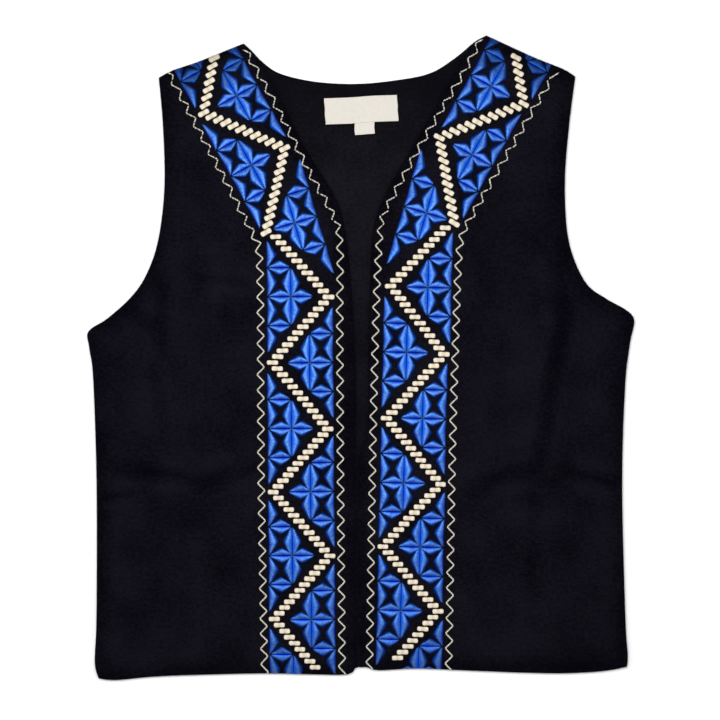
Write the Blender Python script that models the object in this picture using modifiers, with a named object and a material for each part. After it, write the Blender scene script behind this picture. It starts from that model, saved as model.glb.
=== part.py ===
"""Embroidered folk vest for a child, laid flat: a back, two fronts that lie on it, a neck label
with a size label under it, and on each front a raised zigzag of thick stitch blocks.

X runs across the vest, Y from the hem to the neck and Z up from the surface that it lies on.
The origin is under the middle of the vest's box. The tables of places are in millimetres,
measured out from the middle line and up from the lowest point of the hem, as one would
measure the vest on a table."""

import math
from collections import namedtuple

import bmesh
import bpy
import numpy as np
from mathutils import Matrix, Vector
from mathutils.bvhtree import BVHTree
from mathutils.geometry import delaunay_2d_cdt

MM = 0.001

# Driving dimensions
BODY_LENGTH = 425.4 * MM
CLOTH_WALL = 2.2 * MM
SEAM_GAP = 0.3 * MM
CLOTH_EDGE = 0.6 * MM
LOFT = 1.6 * MM
LOFT_REACH = 26 * MM
BACK_INSET = 0.9 * MM
BACK_HEM_RISE = 1.3 * MM
BACK_NOTCH_UP = 9.6 * MM

# Spacing of the points along an edge and inside a panel
EDGE_STEP = 8.5 * MM
FRONT_STEP = 12 * MM
BACK_STEP = 40 * MM

# Neck label and the size label that hangs from under it
LABEL_SIZE = (48.2 * MM, 17.3 * MM)
LABEL_PLACE = (-0.2 * MM, 376.4 * MM)
TAB_SIZE = (13.2 * MM, 7.2 * MM)
TAB_PLACE = (1.9 * MM, 363.7 * MM)
LABEL_TURN = math.radians(3.1)
LABEL_WALL = 1.0 * MM
LABEL_EDGE = 0.2 * MM

# Raised zigzag: thick stitch blocks that all lie across the band, each a step further down it
BLOCK_LENGTH = 7.8 * MM
BLOCK_HEIGHT = 1.0 * MM
UPPER_LEAN = math.radians(29)
LOWER_LEAN = math.radians(0.8)
LEANING_ROWS = 4

LEFT = -1
RIGHT = 1

# Side seam, armhole and shoulder, from the hem to the neck
Edge = namedtuple("Edge", "place left_out left_up right_out right_up armhole")
SIDE_EDGES = (
    Edge("hem corner", 173.4, 1.0, 174.9, 8.7, False),
    Edge("above the hem", 176.0, 12.0, 175.6, 16.0, False),
    Edge("hip", 174.9, 42.0, 174.0, 42.0, False),
    Edge("waist", 174.8, 128.0, 171.9, 128.0, False),
    Edge("chest", 177.0, 198.0, 173.8, 193.0, False),
    Edge("below the arm", 179.6, 219.0, 177.0, 222.0, False),
    Edge("underarm", 180.2, 230.0, 179.8, 237.5, False),
    Edge("start of the armhole", 167.7, 238.6, 173.8, 244.6, True),
    Edge("low in the armhole", 152.3, 252.5, 160.8, 252.0, True),
    Edge("scoop of the armhole", 142.0, 267.5, 147.3, 263.0, True),
    Edge("turn of the armhole", 134.2, 290.3, 136.7, 289.5, True),
    Edge("narrowest at the armhole", 130.1, 325.0, 134.1, 327.0, True),
    Edge("top of the armhole", 131.0, 365.0, 136.8, 365.0, True),
    Edge("shoulder tip", 133.8, 397.4, 141.0, 398.2, False),
)
Point = namedtuple("Point", "place left_x left_up right_x right_up")
SHOULDER = (
    Point("shoulder tip", -133.8, 397.4, 141.0, 398.2),
    Point("middle of the shoulder", -106.5, 408.5, 112.4, 411.5),
    Point("neck point", -77.8, 420.1, 82.3, 425.4),
)

# Neck edge and centre front, from the shoulder down to the hem
FRONT_EDGE = (
    Point("neck point", -77.8, 420.1, 82.3, 425.4),
    Point("on the back neck", -66.3, 407.8, 70.0, 416.8),
    Point("top of the V", -54.4, 385.8, 58.3, 396.0),
    Point("middle of the V", -39.3, 354.9, 33.2, 351.6),
    Point("bottom of the V", -17.5, 318.6, 17.4, 324.6),
    Point("top of the slit", -10.9, 296.9, 8.0, 300.0),
    Point("upper slit", -7.6, 270.5, 5.4, 264.0),
    Point("middle of the slit", -5.0, 231.0, 4.2, 218.0),
    Point("lower slit", -3.8, 191.4, 3.7, 176.0),
    Point("end of the slit", -3.7, 164.0, 2.4, 161.0),
    Point("fronts meet", -3.7, 150.0, -1.6, 151.0),
    Point("below the slit", -3.7, 140.0, -2.8, 142.0),
    Point("skirt", -3.8, 80.0, -2.9, 80.0),
    Point("above the hem", -3.8, 16.0, -3.0, 16.0),
)
FRONT_HEM = (
    Point("front corner", -4.6, 7.2, -2.7, 8.9),
    Point("round the corner", -7.4, 4.5, 3.2, 8.7),
    Point("beside the corner", -13.0, 3.5, 10.8, 6.5),
    Point("inside the band", -38.0, 3.9, 36.5, 7.6),
    Point("outside the band", -66.3, 4.4, 70.0, 6.3),
    Point("middle", -110.5, 3.4, 103.7, 5.0),
    Point("outer third", -138.1, 2.2, 134.0, 4.5),
    Point("by the side", -162.0, 0.0, 160.0, 6.0),
    Point("hem corner", -173.4, 1.0, 174.9, 8.7),
)

# Back neckline, from the left neck point to the right one
Neck = namedtuple("Neck", "place x up")
BACK_NECK = (
    Neck("left neck point", -77.8, 420.1),
    Neck("left slope", -66.3, 408.8),
    Neck("left turn", -54.0, 400.5),
    Neck("left of the label", -31.0, 395.1),
    Neck("middle", -4.0, 393.6),
    Neck("right of the label", 22.0, 395.9),
    Neck("right turn", 45.0, 400.6),
    Neck("right slope", 61.5, 410.5),
    Neck("right shoulder", 74.7, 421.4),
    Neck("right neck point", 82.3, 425.4),
)

# The largest soft folds: a trough from one place to the other, its half width and its depth
Fold = namedtuple("Fold", "place x_1 up_1 x_2 up_2 half_width depth")
FOLDS = {
    LEFT: (
        Fold("side of the waist", -170.0, 119.5, -150.0, 123.5, 6.0, 0.7),
        Fold("waist, outer", -160.0, 136.0, -134.0, 139.0, 6.0, 0.6),
        Fold("waist, inner", -112.0, 126.0, -80.0, 134.0, 8.0, 0.9),
        Fold("below the armhole", -129.6, 251.0, -129.0, 221.0, 7.0, 0.6),
    ),
    RIGHT: (
        Fold("waist, inner", 74.0, 124.0, 105.0, 138.0, 8.0, 0.9),
        Fold("waist, outer", 132.0, 141.0, 167.0, 129.0, 6.0, 0.8),
        Fold("down the chest", 123.5, 211.0, 115.0, 150.0, 6.0, 0.8),
        Fold("down the skirt", 114.0, 122.0, 113.0, 80.0, 6.0, 0.5),
    ),
}

# Where each zigzag turns, from the shoulder to the hem, and how many blocks lie before the
# next turn. At the bend a single leaning block is followed by the first upright one.
Turn = namedtuple("Turn", "left_x left_up right_x right_up blocks")
TURNS = (
    Turn(-98.7, 405.6, 102.2, 411.4, 6),
    Turn(-104.2, 374.0, 106.9, 379.9, 11),
    Turn(-50.7, 350.9, 51.2, 358.5, 11),
    Turn(-63.1, 295.5, 61.4, 301.6, 1),
    Turn(-56.9, 292.6, 55.8, 298.9, 10),
    Turn(-20.8, 253.4, 18.1, 260.6, 11),
    Turn(-59.0, 209.6, 55.6, 215.2, 11),
    Turn(-22.1, 166.1, 15.4, 173.0, 11),
    Turn(-58.7, 124.2, 53.0, 129.5, 11),
    Turn(-21.5, 82.0, 13.4, 88.3, 11),
    Turn(-58.1, 40.5, 51.3, 45.3, 8),
    Turn(-31.4, 8.6, 23.3, 14.8, 1),
)

# How the soft ridge on each side of a fold's trough lies and fades, in half widths of the fold
RIDGE_OUT = 1.45
RIDGE_SHARE = 0.45
RIDGE_NARROW = 2.5
FOLD_END = 0.15

# A panel's inside points keep this share of their spacing clear of its edge
EDGE_CLEAR = 0.55
SHARP_EDGE = math.radians(55)
WELD = 0.01 * MM

# Each finish: its colour and its roughness
BLACK_CLOTH = ((0.012, 0.012, 0.018), 0.9)
CREAM_THREAD = ((0.80, 0.70, 0.47), 0.6)
WOVEN_LABEL = ((0.90, 0.86, 0.76), 0.7)


def on_vest(x_mm, up_mm):
    """A place of a table, in metres from the middle of the vest."""
    return (x_mm * MM, up_mm * MM - BODY_LENGTH / 2)


def smooth(points, step):
    """A soft curve through the points, with a new point about every step."""
    ends = [points[0], *points, points[-1]]
    curve = []
    for before, start, end, after in zip(ends, ends[1:], ends[2:], ends[3:]):
        pieces = max(1, round(math.dist(start, end) / step))
        for piece in range(pieces):
            t = piece / pieces
            weights = (
                -t * (1 - t) ** 2,
                2 - 5 * t * t + 3 * t**3,
                t + 4 * t * t - 3 * t**3,
                -t * t * (1 - t),
            )
            near = (before, start, end, after)
            point = [sum(w * p[axis] for w, p in zip(weights, near)) / 2 for axis in (0, 1)]
            curve.append(tuple(point))
    curve.append(tuple(points[-1]))
    return curve


def table_curve(rows, side):
    """The curve through one side's places of a table."""
    if side == LEFT:
        places = [on_vest(row.left_x, row.left_up) for row in rows]
    else:
        places = [on_vest(row.right_x, row.right_up) for row in rows]
    return smooth(places, EDGE_STEP)


def side_edge(side, armhole_inset=0.0):
    """Side seam, armhole and shoulder of one side, from the hem corner to the neck point."""
    places = []
    for row in SIDE_EDGES:
        out, up = (row.left_out, row.left_up) if side == LEFT else (row.right_out, row.right_up)
        inset = armhole_inset if row.armhole else 0.0
        x, y = on_vest(side * out, up)
        places.append((x - side * inset, y))
    return smooth(places, EDGE_STEP)[:-1] + table_curve(SHOULDER, side)


def front_loop(side):
    """The outline of a front: side, shoulder, neck edge, centre front and hem."""
    front = table_curve(FRONT_EDGE + FRONT_HEM, side)
    loop = side_edge(side)[:-1] + front[:-1]
    return loop if side == RIGHT else loop[::-1]


def back_neck():
    """The back neckline, from the left neck point to the right one."""
    return smooth([on_vest(row.x, row.up) for row in BACK_NECK], EDGE_STEP)


def back_hem():
    """The back's hem, a little higher than the fronts' one, from the right corner to the left one."""
    right = [on_vest(row.right_x, row.right_up) for row in FRONT_HEM]
    left = [on_vest(row.left_x, row.left_up) for row in FRONT_HEM]
    notch = (right[0][0] + left[0][0]) / 2, BACK_NOTCH_UP - BODY_LENGTH / 2
    raised = [(x, y + BACK_HEM_RISE) for x, y in right[::-1]] + [notch]
    raised += [(x, y + BACK_HEM_RISE) for x, y in left]
    return smooth(raised, EDGE_STEP)


def back_loop():
    """The outline of the back."""
    left = side_edge(LEFT, BACK_INSET)[1:-1]
    right = side_edge(RIGHT, BACK_INSET)[1:-1]
    return (left + back_neck() + right[::-1] + back_hem())[::-1]


def distance_inside(points, loop):
    """How far each point lies inside the loop, below zero outside it."""
    points = np.asarray(points)[:, None, :]
    start = np.asarray(loop)[None, :, :]
    end = np.roll(start, -1, axis=1)
    along = end - start
    share = ((points - start) * along).sum(2) / (along**2).sum(2)
    nearest = start + along * np.clip(share, 0, 1)[..., None]
    distance = np.linalg.norm(points - nearest, axis=2).min(1)
    straddles = (start[..., 1] > points[..., 1]) != (end[..., 1] > points[..., 1])
    rise = np.where(along[..., 1] == 0, 1.0, along[..., 1])
    crossing = start[..., 0] + (points[..., 1] - start[..., 1]) * along[..., 0] / rise
    inside = (straddles & (points[..., 0] < crossing)).sum(1) % 2 == 1
    return np.where(inside, distance, -distance)


def inner_points(loop, step):
    """Points inside the loop, on a grid of triangles, away from its edge."""
    low = np.min(loop, axis=0)
    high = np.max(loop, axis=0)
    rows = int((high[1] - low[1]) / (step * math.sqrt(0.75)))
    grid = []
    for row in range(rows + 1):
        shift = step / 2 * (row % 2)
        for x in np.arange(low[0] + shift, high[0], step):
            grid.append((x, low[1] + row * step * math.sqrt(0.75)))
    keep = distance_inside(grid, loop) > step * EDGE_CLEAR
    return [point for point, kept in zip(grid, keep) if kept]


def fold_frame(fold, points):
    """How far along a fold each point lies, from 0 to 1, and how far from its line in half widths."""
    start = np.array(on_vest(fold.x_1, fold.up_1))
    along = np.array(on_vest(fold.x_2, fold.up_2)) - start
    offset = np.asarray(points) - start
    share = offset @ along / (along @ along)
    beside = (offset[:, 0] * along[1] - offset[:, 1] * along[0]) / np.linalg.norm(along)
    return share, beside / (fold.half_width * MM)


def fold_points(folds):
    """Points along each fold's trough and along its two shoulders."""
    points = []
    for fold in folds:
        start = Vector(on_vest(fold.x_1, fold.up_1))
        along = Vector(on_vest(fold.x_2, fold.up_2)) - start
        beside = Vector((along.y, -along.x)).normalized() * fold.half_width * MM
        pieces = round(along.length / EDGE_STEP)
        for piece in range(pieces + 1):
            for offset in (-RIDGE_OUT, 0.0, RIDGE_OUT):
                points.append(tuple(start + along * piece / pieces + beside * offset))
    return points


def lying_flat(points):
    """The height of the back's underside, which lies on the table."""
    return [0.0] * len(points)


def soft_step(value):
    value = np.clip(value, 0, 1)
    return value * value * (3 - 2 * value)


def front_height(points, loop, folds):
    """The height of a front's underside, which lies on the back at its edges and is lofted inside."""
    loft = LOFT * soft_step(distance_inside(points, loop) / LOFT_REACH)
    folded = np.zeros(len(points))
    for fold in folds:
        share, beside = fold_frame(fold, points)
        from_end = np.minimum(share, 1 - share) + FOLD_END
        ridges = np.exp(-((np.abs(beside) - RIDGE_OUT) ** 2) * RIDGE_NARROW)
        section = np.exp(-(beside**2)) - RIDGE_SHARE * ridges
        folded += fold.depth * MM * section * soft_step(from_end / (2 * FOLD_END))
    return CLOTH_WALL + SEAM_GAP + np.maximum(loft - folded, 0)


def matte(name, finish):
    colour, roughness = finish
    material = bpy.data.materials.new(name)
    material.use_nodes = True
    shader = material.node_tree.nodes["Principled BSDF"]
    shader.inputs["Base Color"].default_value = (*colour, 1)
    shader.inputs["Roughness"].default_value = roughness
    shader.inputs["Metallic"].default_value = 0
    material.diffuse_color = (*colour, 1)
    return material


def cloth(collection, name, loop, inside, height_at, wall, material):
    """A wall of cloth: the filled outline at its underside's height, thickened upwards."""
    flat = [Vector(point) for point in [*loop, *inside]]
    filled = delaunay_2d_cdt(flat, [], [list(range(len(loop)))], 1, WELD)
    heights = height_at([tuple(point) for point in filled[0]])
    mesh = bpy.data.meshes.new(name)
    points = [(point.x, point.y, height) for point, height in zip(filled[0], heights)]
    mesh.from_pydata(points, [], filled[2])
    shape = bmesh.new()
    shape.from_mesh(mesh)
    for face in shape.faces:
        if face.normal.z < 0:
            face.normal_flip()
    shape.to_mesh(mesh)
    shape.free()
    piece = bpy.data.objects.new(name, mesh)
    mesh.materials.append(material)
    collection.objects.link(piece)
    thicken = piece.modifiers.new("Wall", "SOLIDIFY")
    thicken.thickness = wall
    thicken.offset = 1
    return piece


def soften(piece, width, segments):
    """Takes the sharp corner off a piece's edges."""
    bevel = piece.modifiers.new("Soft edge", "BEVEL")
    bevel.limit_method = "ANGLE"
    bevel.angle_limit = SHARP_EDGE
    bevel.width = width
    bevel.segments = segments
    bevel.use_clamp_overlap = False


def label(collection, name, size, place, material):
    """A flat woven label on the inside of the back."""
    bpy.ops.mesh.primitive_cube_add(size=1)
    piece = bpy.context.object
    piece.name = name
    piece.data.name = name
    piece.data.transform(Matrix.Diagonal((*size, LABEL_WALL, 1)))
    bottom = CLOTH_WALL + SEAM_GAP
    piece.location = (place[0], place[1] - BODY_LENGTH / 2, bottom + LABEL_WALL / 2)
    piece.rotation_euler.z = LABEL_TURN
    piece.data.materials.append(material)
    for other in list(piece.users_collection):
        other.objects.unlink(piece)
    collection.objects.link(piece)
    soften(piece, LABEL_EDGE, 2)


def zigzag_blocks(side):
    """Each block of a zigzag: its middle, the way across the band, and its step down the band."""
    turns = [Vector(on_vest(*(row[:2] if side == LEFT else row[2:4]))) for row in TURNS]
    for index, (start, row) in enumerate(zip(turns, TURNS)):
        lean = UPPER_LEAN if index < LEANING_ROWS else LOWER_LEAN * (side == RIGHT)
        down = Vector((-side * math.sin(lean), -math.cos(lean)))
        across = Vector((down.y, -down.x))
        if index + 1 < len(turns):
            stroke = turns[index + 1] - start
        step = down * (stroke.dot(down) / TURNS[min(index, len(TURNS) - 2)].blocks)
        for block in range(row.blocks):
            yield start + stroke * block / row.blocks, across, step


def zigzag_loop(side):
    """The stepped outline of a band's zigzag, down one flank and up the other."""
    flanks = [], []
    for middle, across, step in zigzag_blocks(side):
        for flank, out in zip(flanks, (-0.5, 0.5)):
            end = middle + across * BLOCK_LENGTH * out
            flank += [end - step / 2, end + step / 2]
    return [tuple(point) for point in flanks[0] + flanks[1][::-1]]


def surface_of(piece):
    """The finished surface of a piece, to lay another piece on."""
    graph = bpy.context.evaluated_depsgraph_get()
    return BVHTree.FromObject(piece, graph)


def lying_on(surface):
    """Heights a seam gap above the surface."""

    def height_at(points):
        down = Vector((0, 0, -1))
        return [surface.ray_cast(Vector((x, y, 1)), down)[0].z + SEAM_GAP for x, y in points]

    return height_at


def build():
    for old in list(bpy.data.objects):
        bpy.data.objects.remove(old)
    vest = bpy.data.collections.new("Embroidered folk vest")
    bpy.context.scene.collection.children.link(vest)
    black_cloth = matte("Black cloth", BLACK_CLOTH)
    cream_thread = matte("Cream thread", CREAM_THREAD)
    woven_label = matte("Woven label", WOVEN_LABEL)

    loop = back_loop()
    inside = inner_points(loop, BACK_STEP)
    back = cloth(vest, "back", loop, inside, lying_flat, CLOTH_WALL, black_cloth)
    soften(back, CLOTH_EDGE, 1)
    label(vest, "neck_label", LABEL_SIZE, LABEL_PLACE, woven_label)
    label(vest, "size_label", TAB_SIZE, TAB_PLACE, woven_label)

    for side, name in ((LEFT, "left"), (RIGHT, "right")):
        loop = front_loop(side)
        creases = fold_points(FOLDS[side])
        inside = [
            point
            for point in inner_points(loop, FRONT_STEP)
            if min(math.dist(point, crease) for crease in creases) > FRONT_STEP / 2
        ]

        def height_at(points, loop=loop, folds=FOLDS[side]):
            return front_height(points, loop, folds)

        places = inside + creases
        front = cloth(vest, f"front_{name}", loop, places, height_at, CLOTH_WALL, black_cloth)
        soften(front, CLOTH_EDGE, 1)
        on_front = lying_on(surface_of(front))
        cloth(vest, f"zigzag_{name}", zigzag_loop(side), [], on_front, BLOCK_HEIGHT, cream_thread)


build()
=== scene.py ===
import math
import random
from collections import namedtuple

import bpy
import numpy as np
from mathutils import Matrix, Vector, noise
from mathutils.bvhtree import BVHTree
from mathutils.geometry import delaunay_2d_cdt


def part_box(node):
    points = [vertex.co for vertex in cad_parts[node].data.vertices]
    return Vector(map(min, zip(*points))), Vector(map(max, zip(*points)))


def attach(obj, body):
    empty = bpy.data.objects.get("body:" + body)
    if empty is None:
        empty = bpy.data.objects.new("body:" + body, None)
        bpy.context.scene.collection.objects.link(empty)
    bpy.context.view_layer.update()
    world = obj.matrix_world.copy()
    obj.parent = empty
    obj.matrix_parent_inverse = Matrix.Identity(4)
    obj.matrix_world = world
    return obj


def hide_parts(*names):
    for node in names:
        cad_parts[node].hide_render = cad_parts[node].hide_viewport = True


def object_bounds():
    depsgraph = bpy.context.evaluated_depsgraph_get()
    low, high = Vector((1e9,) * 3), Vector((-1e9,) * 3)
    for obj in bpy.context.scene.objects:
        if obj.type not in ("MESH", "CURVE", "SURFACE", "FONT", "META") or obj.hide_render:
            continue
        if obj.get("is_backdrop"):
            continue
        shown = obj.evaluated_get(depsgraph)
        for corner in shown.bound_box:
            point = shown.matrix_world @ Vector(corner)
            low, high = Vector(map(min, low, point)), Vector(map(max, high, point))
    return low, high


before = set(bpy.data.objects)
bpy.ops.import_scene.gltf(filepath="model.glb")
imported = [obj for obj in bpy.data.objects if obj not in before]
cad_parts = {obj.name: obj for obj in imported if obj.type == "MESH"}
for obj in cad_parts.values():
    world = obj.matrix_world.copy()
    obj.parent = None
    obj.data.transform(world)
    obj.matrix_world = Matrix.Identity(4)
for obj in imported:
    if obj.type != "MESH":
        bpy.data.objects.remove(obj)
solid_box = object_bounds()

# Back of the vest. One cut of thick brushed black cloth, which carries the two fronts at its side
# seams and shoulders. It lies flat on the table, so only its inside shows, in the V of the neck
# and down the slit between the fronts.
MM = 0.001
LEFT = -1
RIGHT = 1
SIDES = ((LEFT, "left"), (RIGHT, "right"))
BODY_LENGTH = 425.4 * MM
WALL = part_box("back")[1][2]
SEAM_GAP = 0.3 * MM
BACK_INSET = 0.9 * MM
BACK_HEM_RISE = 1.3 * MM
BACK_NOTCH = (-3.7, 7.6)
OUTLINE_STEP = 2.4 * MM
BACK_SPACING = 4.0 * MM
EDGE_ROUND_STEPS = 6
EDGE_CLEAR = 0.6
WELD = 0.005 * MM
BACK_COLOUR = (0.0031, 0.0028, 0.0043)
BACK_FIBRE = (0.0096, 0.0092, 0.0126)
SLIT_TOP = 278 * MM - BODY_LENGTH / 2
SLIT_REACH = 60 * MM
SLIT_SHADE = 0.28
NECK_START = 338 * MM - BODY_LENGTH / 2
NECK_REACH = 46 * MM
NECK_SHADE = 0.5

# Side seam, armhole and shoulder, from the hem to the neck: millimetres out from the middle
# line and up from the lowest point of the hem
Edge = namedtuple("Edge", "place left_out left_up right_out right_up armhole")
SIDE_EDGES = (
    Edge("hem corner", 173.4, 1.0, 174.9, 8.7, False),
    Edge("above the hem", 176.0, 12.0, 175.6, 16.0, False),
    Edge("hip", 174.9, 42.0, 174.0, 42.0, False),
    Edge("waist", 174.8, 128.0, 171.9, 128.0, False),
    Edge("chest", 177.0, 198.0, 173.8, 193.0, False),
    Edge("below the arm", 179.6, 219.0, 177.0, 222.0, False),
    Edge("underarm", 180.2, 230.0, 179.8, 237.5, False),
    Edge("start of the armhole", 167.7, 238.6, 173.8, 244.6, True),
    Edge("low in the armhole", 152.3, 252.5, 160.8, 252.0, True),
    Edge("scoop of the armhole", 142.0, 267.5, 147.3, 263.0, True),
    Edge("turn of the armhole", 134.2, 290.3, 136.7, 289.5, True),
    Edge("narrowest at the armhole", 130.1, 325.0, 134.1, 327.0, True),
    Edge("top of the armhole", 131.0, 365.0, 136.8, 365.0, True),
    Edge("shoulder tip", 133.8, 397.4, 141.0, 398.2, False),
)
Point = namedtuple("Point", "place left_x left_up right_x right_up")
SHOULDER = (
    Point("shoulder tip", -133.8, 397.4, 141.0, 398.2),
    Point("round the shoulder tip", -124.6, 402.3, 132.7, 403.3),
    Point("middle of the shoulder", -106.5, 408.5, 112.4, 411.5),
    Point("neck point", -77.8, 420.1, 82.3, 425.4),
)
HEM = (
    Point("front corner", -4.6, 7.2, -2.7, 8.9),
    Point("round the corner", -7.4, 4.5, 3.2, 8.7),
    Point("beside the corner", -13.0, 3.5, 10.8, 6.5),
    Point("inside the band", -38.0, 3.9, 36.5, 7.6),
    Point("outside the band", -66.3, 4.4, 70.0, 6.3),
    Point("middle", -110.5, 3.4, 103.7, 5.0),
    Point("outer third", -138.1, 2.2, 134.0, 4.5),
    Point("by the side", -162.0, 0.0, 160.0, 6.0),
    Point("hem corner", -173.4, 1.0, 174.9, 8.7),
)
Neck = namedtuple("Neck", "place x up")
BACK_NECK = (
    Neck("left neck point", -77.8, 420.1),
    Neck("left slope", -66.3, 408.8),
    Neck("left turn", -54.0, 400.5),
    Neck("left of the label", -31.0, 395.1),
    Neck("middle", -4.0, 393.6),
    Neck("right of the label", 22.0, 395.9),
    Neck("right turn", 45.0, 400.6),
    Neck("right slope", 61.5, 410.5),
    Neck("right shoulder", 74.7, 421.4),
    Neck("right neck point", 82.3, 425.4),
)


def on_vest(x_mm, up_mm):
    """A place of a table, in metres from the middle of the vest."""
    return (x_mm * MM, up_mm * MM - BODY_LENGTH / 2)


def smooth(points, step=OUTLINE_STEP):
    """A soft curve through the points, with a new point about every step."""
    ends = [points[0], *points, points[-1]]
    curve = []
    for before, start, end, after in zip(ends, ends[1:], ends[2:], ends[3:]):
        pieces = max(1, round(math.dist(start, end) / step))
        for piece in range(pieces):
            t = piece / pieces
            weights = (
                -t * (1 - t) ** 2,
                2 - 5 * t * t + 3 * t**3,
                t + 4 * t * t - 3 * t**3,
                -t * t * (1 - t),
            )
            near = (before, start, end, after)
            point = [sum(w * p[axis] for w, p in zip(weights, near)) / 2 for axis in (0, 1)]
            curve.append(tuple(point))
    curve.append(tuple(points[-1]))
    return curve


def table_curve(rows, side):
    """The curve through one side's places of a table."""
    if side == LEFT:
        places = [on_vest(row.left_x, row.left_up) for row in rows]
    else:
        places = [on_vest(row.right_x, row.right_up) for row in rows]
    return smooth(places)


def side_edge(side, armhole_inset=0.0):
    """Side seam, armhole and shoulder of one side, from the hem corner to the neck point."""
    places = []
    for row in SIDE_EDGES:
        out, up = (row.left_out, row.left_up) if side == LEFT else (row.right_out, row.right_up)
        inset = armhole_inset if row.armhole else 0.0
        x, y = on_vest(side * out, up)
        places.append((x - side * inset, y))
    return smooth(places)[:-1] + table_curve(SHOULDER, side)


def back_outline():
    """The back's edge: sides, neckline, and a hem a little higher than the fronts' one."""
    right = [on_vest(row.right_x, row.right_up) for row in HEM[:0:-1]]
    left = [on_vest(row.left_x, row.left_up) for row in HEM[1:]]
    raised = [(x, y + BACK_HEM_RISE) for x, y in right] + [on_vest(*BACK_NOTCH)]
    raised += [(x, y + BACK_HEM_RISE) for x, y in left]
    sides = side_edge(LEFT, BACK_INSET)[1:-1], side_edge(RIGHT, BACK_INSET)[1:-1]
    neck = smooth([on_vest(row.x, row.up) for row in BACK_NECK])
    return (sides[0] + neck + sides[1][::-1] + smooth(raised))[::-1]


def distance_inside(points, outline):
    """How far each point lies inside the outline, below zero outside it."""
    start = np.asarray(outline)[None, :, :]
    end = np.roll(start, -1, axis=1)
    along = end - start
    rise = np.where(along[..., 1] == 0, 1.0, along[..., 1])
    distances = []
    for some in np.array_split(np.asarray(points)[:, None, :], len(points) // 2000 + 1):
        share = ((some - start) * along).sum(2) / (along**2).sum(2)
        nearest = start + along * np.clip(share, 0, 1)[..., None]
        distance = np.linalg.norm(some - nearest, axis=2).min(1)
        straddles = (start[..., 1] > some[..., 1]) != (end[..., 1] > some[..., 1])
        crossing = start[..., 0] + (some[..., 1] - start[..., 1]) * along[..., 0] / rise
        inside = (straddles & (some[..., 0] < crossing)).sum(1) % 2 == 1
        distances.append(np.where(inside, distance, -distance))
    return np.concatenate(distances)


def inner_points(outline, spacing):
    """Points inside the outline, on a grid of triangles, away from its edge."""
    low = np.min(outline, axis=0)
    high = np.max(outline, axis=0)
    row_step = spacing * math.sqrt(0.75)
    grid = []
    for row in range(int((high[1] - low[1]) / row_step) + 1):
        first = low[0] + spacing / 2 * (row % 2)
        grid += [(x, low[1] + row * row_step) for x in np.arange(first, high[0], spacing)]
    grid = np.array(grid)
    return grid[distance_inside(grid, outline) > spacing * EDGE_CLEAR]


def mesh_piece(name, points, faces, material):
    """A smooth object of these points and faces, which rides on the vest."""
    mesh = bpy.data.meshes.new(name)
    mesh.from_pydata([tuple(point) for point in points], [], [list(face) for face in faces])
    mesh.shade_smooth()
    mesh.materials.append(material)
    piece = bpy.data.objects.new(name, mesh)
    bpy.context.scene.collection.objects.link(piece)
    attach(piece, "root")
    return piece


def give_values(piece, name, values):
    """Keeps a number or a vector for each point of a piece, for its material to read."""
    values = np.asarray(values)
    kind, word = ("FLOAT", "value") if values.ndim == 1 else ("FLOAT_VECTOR", "vector")
    made = piece.data.attributes.new(name, kind, "POINT")
    made.data.foreach_set(word, values.reshape(-1))


def points_of(piece):
    """Where each point of a piece lies on the vest."""
    return np.array([tuple(vertex.co) for vertex in piece.data.vertices])[:, :2]


def cloth_shell(name, outline, spacing, underside_at, wall_at, material):
    """A closed shell of cloth with a rounded edge, and its flat area."""
    outline = np.asarray(outline)
    along = np.roll(outline, -1, 0) - np.roll(outline, 1, 0)
    along /= np.linalg.norm(along, axis=1)[:, None]
    inward = np.column_stack([-along[:, 1], along[:, 0]])
    edge_wall = wall_at(outline)
    rings = []
    for step in range(EDGE_ROUND_STEPS + 1):
        angle = math.pi * (step / EDGE_ROUND_STEPS - 0.5)
        places = outline + inward * edge_wall[:, None] / 2 * (1 - math.cos(angle))
        heights = underside_at(places) + edge_wall / 2 * (1 + math.sin(angle))
        rings.append(np.column_stack([places, heights]))
    count = len(outline)
    faces = []
    for step in range(EDGE_ROUND_STEPS):
        for corner in range(count):
            after = (corner + 1) % count
            low, high = step * count, (step + 1) * count
            faces.append((low + corner, low + after, high + after, high + corner))
    flat = [*rings[0][:, :2], *inner_points(rings[0][:, :2], spacing)]
    flat = [Vector(place) for place in flat]
    filled = delaunay_2d_cdt(flat, [], [list(range(count))], 1, WELD)
    first_inner = len(rings) * count
    inner = [number for number, of in enumerate(filled[3]) if not of or min(of) >= count]
    places = np.array([tuple(filled[0][number]) for number in inner])
    under = underside_at(places)
    bottom_of = {number: first_inner + order for order, number in enumerate(inner)}
    top_of = {number: first_inner + len(inner) + order for order, number in enumerate(inner)}
    for number, of in enumerate(filled[3]):
        if of and min(of) < count:
            bottom_of[number] = min(of)
            top_of[number] = EDGE_ROUND_STEPS * count + min(of)
    area = 0.0
    for face in filled[2]:
        a, b, c = (filled[0][number] for number in face)
        double_area = (b - a).cross(c - a)
        if double_area < 0:
            face = face[::-1]
        area += abs(double_area) / 2
        faces.append([top_of[number] for number in face])
        faces.append([bottom_of[number] for number in face[::-1]])
    points = [*np.concatenate(rings)]
    points += [*np.column_stack([places, under])]
    points += [*np.column_stack([places, under + wall_at(places)])]
    return mesh_piece(name, points, faces, material), area


def add_node(tree, kind, values=(), **settings):
    """Adds a node with these settings. An input gets a value, or a link from an output."""
    node = tree.nodes.new("ShaderNode" + kind)
    for name, value in settings.items():
        setattr(node, name, value)
    for name, value in dict(values).items():
        if isinstance(value, bpy.types.NodeSocket):
            tree.links.new(value, node.inputs[name])
        else:
            node.inputs[name].default_value = value
    return node


def maths(tree, operation, first, second=0.0):
    """The output of a Math node."""
    return add_node(tree, "Math", {0: first, 1: second}, operation=operation).outputs[0]


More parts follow.
